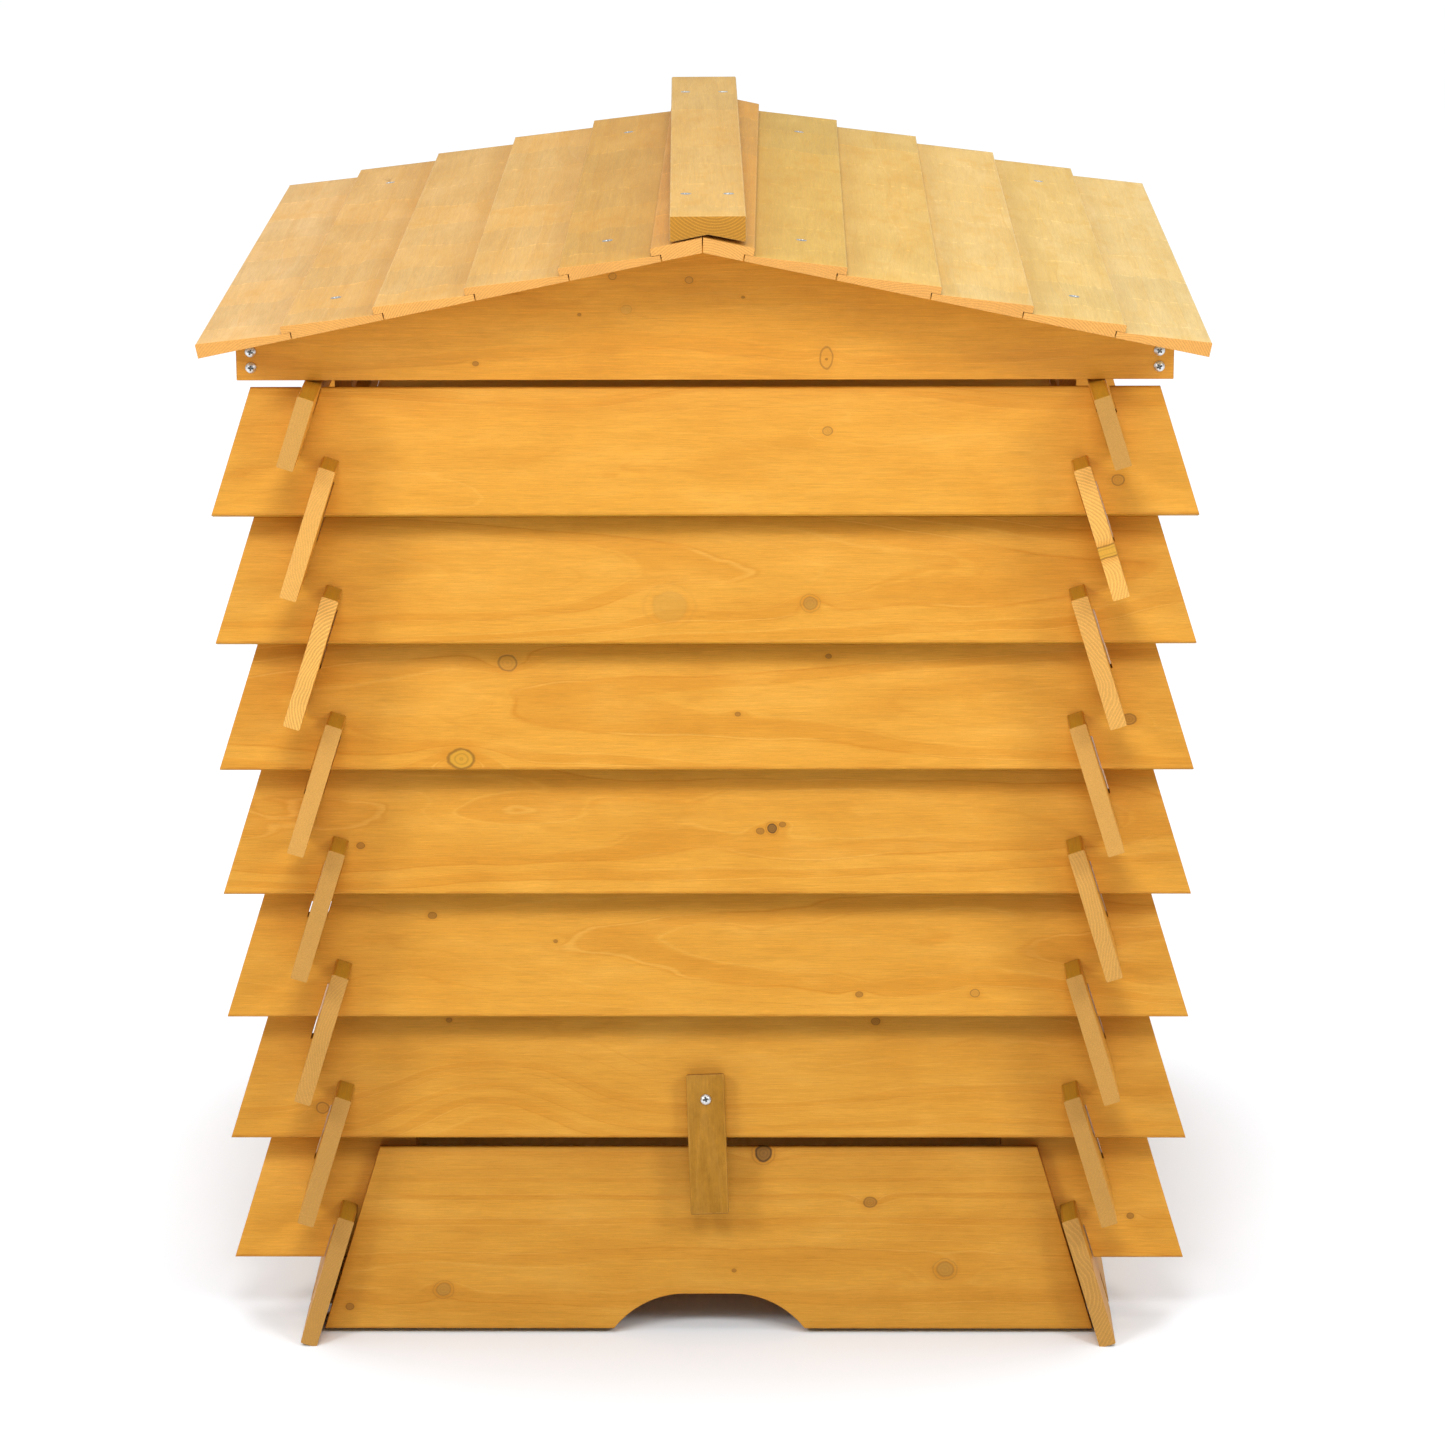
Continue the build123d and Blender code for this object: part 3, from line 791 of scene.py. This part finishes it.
def softwood_group():
    """Stained flat-sawn softwood. Grain is in millimetres: along, across and through the board.

    Rings are cylinders about a pith that wanders below the face, which gives long bands and
    cathedrals on the faces and arcs on the ends."""
    numbers = (
        "Seed", "Pith Across", "Pith Depth", "Spacing", "Wander", "Push", "Contrast", "Chatter",
        "Taper", "Mottle", "End Rings", "Lap")
    inputs = {"Grain": "Vector", **dict.fromkeys(numbers, "Float"), **dict.fromkeys(WOOD_PARTS, "Color")}
    outputs = {"Color": "Color", "Roughness": "Float", "Height": "Float"}
    group, n, given = new_group("softwood", inputs, outputs)
    x, u, depth = n.split(given["Grain"])
    # Each board takes its patterns from its own stretch of the noise.
    away = n.times(given["Seed"], 173.0)
    place = n.vector("ADD", given["Grain"], n.join(away, n.times(away, 0.37), 0.0))

    def pattern(along, across, detail=2.0, roughness=0.5):
        return n.noise(place, (along, across, across), detail, roughness)

    # Year rings.
    slow = n.less(pattern(0.0042, 0.014, 1.0), 0.5)
    middle = n.less(pattern(0.014, 0.045), 0.5)
    fine = n.less(pattern(0.06, 0.22, 3.0, 0.6), 0.5)
    wander = n.total(n.times(slow, given["Wander"]), n.times(middle, n.times(given["Wander"], 0.2)))
    wander = n.scale_add(x, given["Taper"], wander)
    across = n.less(u, given["Pith Across"])
    below = n.total(n.less(depth, given["Pith Depth"]), wander)
    radius = n.total(n.math("SQRT", n.squares(across, below)), n.times(fine, 0.5), given["Push"])
    ring = n.math("DIVIDE", radius, given["Spacing"])
    year = n.math("FLOOR", ring)
    season = n.math("FRACT", ring)
    chance = n.random(n.total(year, given["Seed"]))
    chance_before = n.random(n.total(n.less(year, 1.0), given["Seed"]))
    late = n.times(n.line(season, (0.84, 0.93), (0.95, 1.0)), n.scale_add(chance, 0.8, 0.2))
    turn = n.ramp(season, 0.0, 0.12)
    band = n.total(n.times(chance, turn), n.times(chance_before, n.less(1.0, turn)))

    # Patterns, from the widest to the finest.
    pale_part = n.ramp(pattern(0.006, 0.02), 0.42, 0.56)
    blotch = pattern(0.009, 0.03, 3.0, 0.6)
    streak = pattern(0.008, 0.22, 3.0, 0.65)
    rough = pattern(0.12, 0.2, 4.0, 0.7)
    fibre = pattern(0.025, 0.8, 3.0, 0.65)
    thread = pattern(0.06, 2.4, 2.0, 0.6)
    pore = pattern(0.25, 3.0, 2.0, 0.6)
    speck = pattern(1.3, 1.3)
    end = n.attribute("end_face")
    edge = n.attribute("edge_face")
    side = n.less(1.0, end)

    # The face: bands and late wood lines, paler than the wood in some parts and darker in others.
    contrast = given["Contrast"]
    pale_line = n.times(n.times(late, pale_part), n.times(contrast, 0.5))
    dark_line = n.times(n.times(late, n.less(1.0, pale_part)), n.times(contrast, 0.45))
    tint = n.mix(n.times(n.ramp(band, 0.3, 1.0), n.times(contrast, 0.3)), given["Base"], given["Deep"])
    tint = n.mix(n.times(n.ramp(blotch, 0.48, 0.72), 0.3), tint, given["Pale"])
    tint = n.mix(n.times(n.ramp(blotch, 0.52, 0.3), 0.22), tint, given["Deep"])
    tint = n.mix(pale_line, tint, given["Pale"])
    tint = n.mix(dark_line, tint, given["Deep"])
    light = n.scale_add(n.less(fibre, 0.5), 0.3, 1.0)
    amounts = (
        (thread, 0.44), (streak, 0.18), (pore, 0.2), (blotch, 0.12), (speck, 0.14),
        (rough, given["Mottle"]))
    for noise, amount in amounts:
        light = n.total(light, n.about_zero(noise, amount))
    tint = n.scaled(tint, light)

    # Planer marks: stretches of slightly different colour with a faint pale line between them.
    wave = n.times(x, 0.0105)
    step = n.scale_add(pattern(0.02, 0.03), 0.5, wave)
    stretch = n.random(n.total(n.math("FLOOR", step), given["Seed"]))
    seam = n.times(n.ramp(n.math("FRACT", step), 0.94, 1.0), n.ramp(streak, 0.45, 0.6))
    ripple = n.math("SINE", n.scale_add(x, 1.25, n.times(fine, 2.0)))
    planed = n.total(1.0, n.about_zero(stretch, 0.14), n.times(seam, 0.22), n.times(ripple, 0.024))
    chatter = n.times(given["Chatter"], side)
    sap = n.scale_add(n.ramp(pattern(0.03, 0.06, 3.0, 0.65), 0.5, 0.66), 0.5, 0.5)
    yellowed = n.times(n.scale_add(stretch, 0.55, 0.1), sap)
    tint = n.mix(chatter, tint, n.scaled(n.mix(yellowed, tint, given["Deep"]), planed))

    # The ends, the edges and the rounded arrises.
    fine_ring = n.math("FRACT", n.times(ring, 2.0))
    end_line = n.times(n.line(fine_ring, (0.35, 0.8), (0.85, 1.0)), given["End Rings"])
    end_tint = n.mix(end_line, given["End"], n.scaled(given["End"], 1.4))
    end_light = n.scale_add(n.less(speck, 0.5), 0.5, 1.0)
    end_light = n.scale_add(n.less(blotch, 0.5), 0.2, end_light)
    tint = n.mix(end, tint, n.scaled(end_tint, end_light))
    tint = n.mix(n.times(edge, n.times(side, 0.9)), tint, n.scaled(given["Edge"], light))
    # The rounded arrises take the Arris colour in patches: on the bare roof boards a painted highlight,
    # paler along the edges; on the stained boards a darker line.
    arris_patches = n.ramp(pattern(0.05, 0.3), 0.3, 0.7, 0.12, 0.5)
    tint = n.mix(n.times(n.attribute("arris"), arris_patches, side), tint, given["Arris"])
    # Painted shade: roof boards are darker towards the board that laps over them, where its shadow falls.
    lap = n.times(given["Lap"], n.ramp(u, 2.0, -36.0))
    tint = n.mix(n.times(lap, side), tint, n.scaled(given["Deep"], 0.8))

    n.add("NodeGroupOutput", {
        "Color": tint,
        "Roughness": n.total(
            0.46, n.about_zero(fibre, 0.25), n.times(end, 0.2), n.about_zero(blotch, 0.15)),
        "Height": n.total(
            n.times(fibre, 0.5), n.times(pore, 0.35), n.times(late, n.times(side, 0.3)),
            n.times(ripple, n.times(chatter, 0.12)),
            n.times(speck, n.scale_add(end, 0.8, 0.1))),
    })
    return group


# ---- materials
def wood_look(*tints):
    """A wood's colours, from screen colours in the order of WOOD_PARTS."""
    return {part: colour(*tint) for part, tint in zip(WOOD_PARTS, tints)}


STAINED = wood_look(
    (215, 152, 54), (229, 172, 76), (194, 121, 24), (208, 146, 68), (182, 136, 38), (178, 108, 24))
FRAMING = wood_look(
    (212, 145, 48), (224, 164, 70), (190, 118, 28), (206, 142, 62), (196, 132, 40), (170, 104, 26))
TOGGLE = wood_look(
    (158, 109, 30), (182, 134, 58), (124, 82, 22), (150, 104, 40), (172, 122, 40), (190, 140, 60))
SIDE_END = colour(212, 157, 78)
# Colours of the bare roof boards from the eaves up.
ROOF_TINTS = {
    "left": [
        (208, 169, 110), (204, 162, 97), (204, 163, 97), (204, 163, 95), (193, 150, 76), (195, 144, 72)],
    "right": [
        (211, 184, 124), (207, 177, 110), (210, 179, 114), (204, 170, 97), (197, 162, 84),
        (199, 151, 74)]}
CAP_TINT = (198, 161, 94)

# Knots: how strongly each kind shows its core, rings, rim, halo and outer ring, how far it pushes the
# grain, its width as a share of its height, and its inside and outline colours.
Kind = namedtuple("Kind", "core rings rim halo outer push width inside outline")
KNOT_KINDS = {
    "ring": Kind(0.35, 0.3, 0.6, 0.22, 0.0, 1.6, 1.16, colour(186, 136, 58), colour(128, 92, 44)),
    "dark": Kind(0.55, 0.4, 0.5, 0.3, 0.0, 1.4, 1.25, colour(138, 94, 38), colour(88, 60, 28)),
    "disc": Kind(0.4, 0.1, 0.12, 0.1, 0.1, 0.5, 1.16, colour(190, 144, 62), colour(164, 120, 46)),
    "gold": Kind(0.75, 0.6, 0.7, 0.4, 0.0, 1.6, 1.3, colour(204, 152, 50), colour(126, 88, 30)),
    "bark": Kind(0.8, 0.5, 0.8, 0.45, 0.2, 1.2, 1.0, colour(120, 84, 40), colour(52, 40, 24)),
    "grey": Kind(0.45, 0.3, 0.3, 0.45, 0.3, 0.9, 1.16, colour(156, 122, 58), colour(126, 96, 44)),
    "oval": Kind(0.12, 0.0, 0.52, 0.15, 0.0, 0.4, 0.55, colour(196, 136, 52), colour(122, 82, 36)),
}
WOOD_SPECULAR = 0.16
WOOD_BUMP = {"Strength": 0.5, "Distance": 0.00035}
ZINC_BUMP = {"Strength": 0.35, "Distance": 0.0001}

KNOT = knot_group()
SOFTWOOD = softwood_group()


def bare(base):
    """The look of a bare board, from its screen colour."""
    red, green, blue = base
    # The last colour, for the rounded arrises, is paler: a painted highlight.
    return wood_look(
        base, (red * 1.07, green * 1.11, blue * 1.28), (red * 0.97, green * 0.88, blue * 0.62),
        (206, 148, 76), (red * 0.98, green * 0.95, blue * 0.9), (red * 1.07, green * 1.1, blue * 1.25))


def shaded(rgba, strength):
    """A colour scaled by strength; below 1 it is painted shade, for parts that get less light."""
    return (*(strength * value for value in rgba[:3]), 1.0)


def wood(name, look, seed, pith=(48, -60), spacing=4.2, wander=26.0, contrast=1.0, chatter=0.0,
         shade=1.0, taper=0.0, mottle=0.08, end_rings=0.3, lap=0.0, figures=(), knots=()):
    """A board's own material, with its sizes in mm.

    pith is (across, depth), knots are (along, across, radius, kind), and figures are swellings in the
    grain that rings close around: (along, across, half length, half width, height)."""
    # shade below 1 is painted shade: it darkens every colour of a board that gets less light.
    look = {part: shaded(rgba, shade) for part, rgba in look.items()}
    material, n = new_material(name)
    grain = n.vector("MULTIPLY", n.attribute("grain", "Vector"), (1000, 1000, 1000))
    parts = []
    push = 0.0
    for along, across, radius, kind in knots:
        kind = KNOT_KINDS[kind]
        part = n.group(KNOT, {
            "Grain": grain, "Along": along, "Across": across, "Radius": radius, "Width": kind.width})
        parts.append((part, kind))
        push = n.scale_add(part["Push"], kind.push, push)
    for figure in figures:
        push = n.total(n.swelling(grain, *figure), push)
    softwood = n.group(SOFTWOOD, {
        "Grain": grain, "Seed": float(seed), "Pith Across": pith[0], "Pith Depth": pith[1],
        "Spacing": spacing, "Wander": wander, "Push": push, "Contrast": contrast, "Chatter": chatter,
        "Taper": taper, "Mottle": mottle, "End Rings": end_rings, "Lap": lap, **look})
    tint = softwood["Color"]
    height = softwood["Height"]
    for part, kind in parts:
        tint = n.mix(n.times(part["Halo"], kind.halo), tint, look["Deep"])
        tint = n.mix(n.times(part["Core"], kind.core), tint, kind.inside)
        lines = n.times(part["Core"], n.math("MAXIMUM", part["Rings"], 0.0))
        tint = n.mix(n.times(lines, kind.rings), tint, kind.outline)
        tint = n.mix(n.times(part["Rim"], kind.rim), tint, kind.outline)
        tint = n.mix(n.times(part["Outer"], kind.outer), tint, kind.outline)
        height = n.scale_add(part["Rim"], -0.9, height)
    bump = n.add("ShaderNodeBump", {"Height": height, **WOOD_BUMP})
    n.surface({
        "Base Color": tint,
        "Roughness": softwood["Roughness"],
        "Normal": bump.outputs[0],
        "Specular IOR Level": WOOD_SPECULAR,
    })
    return material


def zinc():
    """Bright zinc plating with a faint mottle, and painted shade in the driver's cross."""
    material, n = new_material("zinc")
    place = n.add("ShaderNodeTexCoord", {}).outputs["Object"]
    mottle = n.noise(place, (900, 900, 900), 3.0)
    scratch = n.noise(place, (3000, 700, 700))
    tint = n.mix(mottle, colour(188, 191, 193), colour(232, 233, 232))
    # Painted shade: the driver's cross is darker the deeper it is cut.
    tint = n.mix(n.ramp(n.attribute("recess"), 0.1, 0.9), tint, colour(112, 110, 105))
    roughness = n.scale_add(scratch, 0.3, 0.22)
    bump = n.add("ShaderNodeBump", {"Height": scratch, **ZINC_BUMP})
    n.surface({"Base Color": tint, "Roughness": roughness, "Metallic": 1.0, "Normal": bump.outputs[0]})
    return material


# ---- assembly
# Grain and knots of the front boards, from the top; shade below 1 is painted shade on the lower
# boards, where less light falls.
FRONT_GRAIN = {
    "front_board_1": dict(
        pith=(24, -78), spacing=3.8, taper=0.01,
        figures=[(-110, 92, 70, 16, 9.0), (70, 80, 110, 14, -8.0)],
        knots=[(92, 63, 3.2, "ring"), (309, 26, 4.0, "ring")]),
    "front_board_2": dict(
        pith=(55, -50), spacing=4.4, taper=0.055, wander=16.0,
        knots=[(-27, 28, 11.5, "disc"), (79, 30, 4.6, "grey")]),
    "front_board_3": dict(
        pith=(47, -52), spacing=5.2, taper=-0.045, wander=16.0,
        figures=[(-180, 50, 26, 8, 7.0)],
        knots=[(-151, 81, 6.0, "ring"), (-186, 8, 7.5, "gold"), (24, 42, 1.6, "dark"),
               (93, 86, 1.8, "dark"), (321, 38, 4.2, "dark")]),
    "front_board_4": dict(
        shade=0.97, pith=(60, -50), spacing=4.6, taper=0.02, figures=[(-150, 62, 60, 14, 12.0)],
        knots=[(41, 48, 2.4, "dark"), (50, 50, 3.4, "bark"), (58, 53, 2.0, "dark"),
               (-265, 37, 2.4, "dark")]),
    "front_board_5": dict(
        shade=0.96, pith=(52, -62), spacing=4.8, taper=-0.03,
        knots=[(117, 17, 2.2, "dark"), (206, 18, 3.0, "ring"), (-117, 58, 1.3, "dark"),
               (-212, 78, 2.6, "dark")]),
    "front_board_6": dict(
        shade=0.90, pith=(75, -60), spacing=3.6, wander=20.0, taper=0.02,
        figures=[(-170, 30, 90, 42, 26.0)],
        knots=[(130, 90, 2.8, "dark"), (-299, 23, 4.2, "ring"), (-201, 91, 1.8, "dark")]),
}
HATCH_KNOTS = [
    (43, 136, 6.2, "bark"), (126, 98, 4.0, "dark"), (184, 46, 5.6, "grey"), (-206, 30, 4.8, "grey"),
    (-279, 17, 2.5, "dark"), (20, 45, 1.4, "dark")]
GABLE_KNOTS = {
    "front": [
        (91, 762, 8.4, "oval"), (-68, 824, 2.4, "ring"), (-58, 799, 3.6, "disc"), (-93, 795, 1.1, "dark"),
        (-11, 821, 2.4, "ring"), (29, 808, 1.0, "dark"), (-171, 758, 1.8, "dark"),
        (91, 761, 0.8, "dark")],
    "back": [(-60, 790, 4.0, "ring"), (210, 770, 3.0, "dark")]}
# How strongly the rings show on the ends of the side boards, from the top, how dark the ends are, and
# knots that cross an end. The darkness is partly the ends' own tone and partly painted shade: the lower
# ends are darker, where less light falls.
END_RINGS = {
    "left": (0.15, 0.35, 1.0, 0.08, 0.05, 0.3, 0.1, 0.2),
    "right": (0.0, 0.8, 0.5, 0.05, 0.4, 0.1, 0.1, 0.5)}
END_SHADES = {
    "left": (0.76, 1.0, 0.98, 0.9, 0.8, 0.8, 0.78, 0.78),
    "right": (0.70, 1.02, 0.95, 0.9, 0.86, 0.82, 0.78, 0.78)}
END_KNOTS = {"right_board_2": [(-358, 35, 4.6, "gold")]}
FIRST_WALL_SEED = 101
# How far from a board's middle its random knots may lie, and how far from its edges, in mm.
KNOT_REACH = 350.0
KNOT_INSET = 8


def place_in_body(piece, node, material):
    """Gives a piece its material and lets it stand for a node, on the node's body."""
    piece.data.materials.append(material)
    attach(piece, frame["nodes"][node]["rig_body"])
    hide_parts(node)


def random_grain(seed, width):
    """Knots and ring pattern, in mm, for a board whose face the front view doesn't show."""
    draw = random.Random(seed)
    knots = []
    for k in range(draw.choice((2, 3, 3, 4))):
        kind = draw.choice(("ring", "dark", "dark", "gold"))
        place = (draw.uniform(-KNOT_REACH, KNOT_REACH), draw.uniform(KNOT_INSET, width - KNOT_INSET))
        knots.append((*place, draw.uniform(1.6, 5.0), kind))
    pith = (draw.uniform(0.2, 0.8) * width, draw.uniform(-80, -40))
    return dict(pith=pith, spacing=draw.uniform(3.8, 5.4), wander=draw.uniform(24, 36), knots=knots)


def build_walls():
    boards = [(node, "front", {}) for node in FRONT_GRAIN]
    boards += [(f"front_stub_{side}", "front", dict(keep=keep)) for side, keep in SIDES]
    boards += [(f"back_board_{row}", "back", {}) for row in range(1, 8)]
    boards.append(("back_board_foot", "back", dict(low=PITCH / 2 / COS, slots=("high",), ground=True)))
    for side in END_RINGS:
        boards.append((f"{side}_board_1_ripped", side, dict(width=HALF_BOARD_WIDTH, slots=("low",))))
        boards += [(f"{side}_board_{row}", side, dict(ground=row == 8)) for row in range(2, 9)]
    for seed, (node, side, shape) in enumerate(boards, FIRST_WALL_SEED):
        width = shape.get("width", BOARD_WIDTH) * 1000
        grain = FRONT_GRAIN.get(node) or random_grain(seed, width)
        look = STAINED
        if side in END_RINGS:
            row = int(node.split("_")[2])
            grain["end_rings"] = END_RINGS[side][row - 1]
            # Painted shade: the lower side boards are darker, where less light falls.
            grain["shade"] = 1.02 - 0.02 * row
            grain["knots"] += END_KNOTS.get(node, [])
            # End is scaled by END_SHADES: partly the ends' own tone, partly painted shade on the lower
            # ends.
            look = dict(STAINED, End=shaded(SIDE_END, END_SHADES[side][row - 1]))
        material = wood(node, look, seed, **grain)
        place_in_body(louvre(node, side, seed, **shape), node, material)


def build_hatch():
    # The hatch's shade is painted shade: it sits low, where less light falls.
    material = wood(
        "hatch_panel", STAINED, 41, pith=(40, -46), spacing=3.6, wander=14.0, shade=0.84,
        mottle=0.12, knots=HATCH_KNOTS)
    place_in_body(hatch("hatch_panel", 41), "hatch_panel", material)
    material = wood(
        "turn_button", TOGGLE, 47, pith=(4, -50), spacing=3.0, wander=8.0, contrast=0.6, mottle=0.7)
    place_in_body(turn_button("turn_button", 47), "turn_button", material)


def build_lid():
    seed = 300
    for side, sign in SIDES:
        for row in range(1, len(BUTT_PLACES) + 1):
            node = f"roof_{side}_board_{row}"
            seed += 1
            draw = random.Random(seed)
            pith = (draw.uniform(-40, 40), draw.uniform(-70, -40))
            material = wood(
                node, bare(ROOF_TINTS[side][row - 1]), seed, pith=pith, spacing=3.6, wander=13.0,
                contrast=draw.uniform(0.6, 1.1), chatter=1.0, lap=0.3, end_rings=draw.uniform(0.2, 0.8))
            place_in_body(roof_board(node, row, sign, seed), node, material)
        node = f"roof_{side}_rail"
        seed += 1
        material = wood(node, FRAMING, seed)
        place_in_body(roof_bearer(node, (1, 2, 0), seed), node, material)
    for side in ("front", "back"):
        node = f"{side}_gable"
        seed += 1
        material = wood(
            node, FRAMING, seed, pith=(800, -360), spacing=4.5, contrast=0.6, mottle=0.14,
            knots=GABLE_KNOTS[side])
        piece = roof_bearer(node, (0, 2, 1), seed, [(0, ROOF_APEX)])
        place_in_body(piece, node, material)
        node = f"{side}_rafters"
        seed += 1
        material = wood(node, FRAMING, seed, pith=(840, -250))
        for piece in batten_pair(node, RAFTER_GAP, (0, 2, 1), seed):
            place_in_body(piece, node, material)
    node = "locating_battens"
    material = wood(node, FRAMING, seed + 1, pith=(760, 200))
    low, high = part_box(node)
    for piece in batten_pair(node, high.x - BOARD_THICK, (1, 2, 0), seed + 1, foot=low.z):
        place_in_body(piece, node, material)
    node = "ridge_cap"
    look = bare(CAP_TINT)
    look["End"] = colour(168, 116, 38)
    material = wood(
        node, look, 77, pith=(4, 905), spacing=4.4, wander=9.0, contrast=0.5, chatter=0.8,
        end_rings=0.9)
    place_in_body(ridge_cap(node, 77), node, material)


def build_screws():
    plated = zinc()
    roof_places = [
        place for row in ROOF_SCREW_BOARDS for sign in (-1, 1) for place in roof_screw_places(row, sign)]
    sets = [
        ("gable_screws", gable_screw_places(), True, SCREW_LENGTH),
        ("roof_screws", roof_places, False, ROOF_SCREW_LENGTH),
        ("ridge_cap_screws", cap_screw_places(), False, CAP_SCREW_LENGTH),
        ("turn_button_screw", [on_pivot(2 * HATCH_GAP + BUTTON[2])], True, BUTTON_SCREW_LENGTH),
    ]
    for seed, (node, places, pan, length) in enumerate(sets, 500):
        place_in_body(screws(node, places, pan, length, seed), node, plated)


build_walls()
build_hatch()
build_lid()
build_screws()

# ---- floor, light and camera
FLOOR_REACH = 30.0
FLOOR_ROUGHNESS = 0.9
FLOOR_SPECULAR = 0.1
WORLD_STRENGTH = 0.4
# Area lights, as (name, place, target, size, power), and the wide light from above.
SOFTBOXES = (
    ("left_softbox", (-2.1, -2.1, 2.1), (0, -0.3, 0.6), (0.8, 0.8), 30),
    ("right_softbox", (2.1, -2.1, 2.1), (0, -0.3, 0.6), (0.8, 0.8), 27),
    ("front_softbox", (-0.1, -2.2, 2.5), (0, -0.3, 0.65), (0.9, 0.6), 19))
SUN_DIRECTION = (0.0, 0.2, 1.0)
SUN_SPREAD = math.radians(45.0)
SUN_POWER = 2.5
SENSOR_WIDTH = 36.0
CAMERA_PLACE = (0.05775, -3.91412, 1.48239)
CAMERA_PITCH = math.radians(-15.486)
CAMERA_YAW = 0.01255
CAMERA_ROLL = -0.00412
CAMERA_LENS = 122.89


def add_floor():
    mesh = bmesh.new()
    bmesh.ops.create_grid(mesh, x_segments=8, y_segments=8, size=FLOOR_REACH)
    floor = new_object("floor", mesh)
    material, n = new_material("floor")
    place = n.add("ShaderNodeTexCoord", {}).outputs["Object"]
    mottle = n.noise(place, (3, 3, 3))
    tint = n.mix(mottle, colour(236, 241, 246), colour(241, 246, 251))
    n.surface({
        "Base Color": tint, "Roughness": FLOOR_ROUGHNESS, "Specular IOR Level": FLOOR_SPECULAR})
    floor.data.materials.append(material)


def add_softbox(name, place, target, size, power):
    data = bpy.data.lights.new(name, "AREA")
    data.shape = "RECTANGLE"
    data.size, data.size_y = size
    data.energy = power
    light = link(name, data)
    light.location = place
    light.rotation_mode = "QUATERNION"
    light.rotation_quaternion = (Vector(target) - Vector(place)).to_track_quat("-Z", "Y")


def add_sun():
    """A soft distant light from above."""
    data = bpy.data.lights.new("overhead_light", "SUN")
    data.angle = SUN_SPREAD
    data.energy = SUN_POWER
    light = link("overhead_light", data)
    light.rotation_mode = "QUATERNION"
    light.rotation_quaternion = Vector(SUN_DIRECTION).to_track_quat("Z", "Y")


def add_world():
    world = bpy.data.worlds.new("studio")
    world.use_nodes = True
    background = world.node_tree.nodes["Background"].inputs
    background["Color"].default_value = (1, 1, 1, 1)
    background["Strength"].default_value = WORLD_STRENGTH
    bpy.context.scene.world = world


def add_camera():
    data = bpy.data.cameras.new("camera")
    data.lens = CAMERA_LENS
    data.sensor_width = SENSOR_WIDTH
    camera = link("camera", data)
    turn = Matrix.Rotation(CAMERA_YAW, 4, "Z") @ Matrix.Rotation(math.pi / 2 + CAMERA_PITCH, 4, "X")
    camera.matrix_world = Matrix.Translation(CAMERA_PLACE) @ turn @ Matrix.Rotation(CAMERA_ROLL, 4, "Z")
    bpy.context.scene.camera = camera


add_floor()
add_world()
for softbox in SOFTBOXES:
    add_softbox(*softbox)
add_sun()
add_camera()
bpy.context.scene.view_settings.view_transform = "Standard"
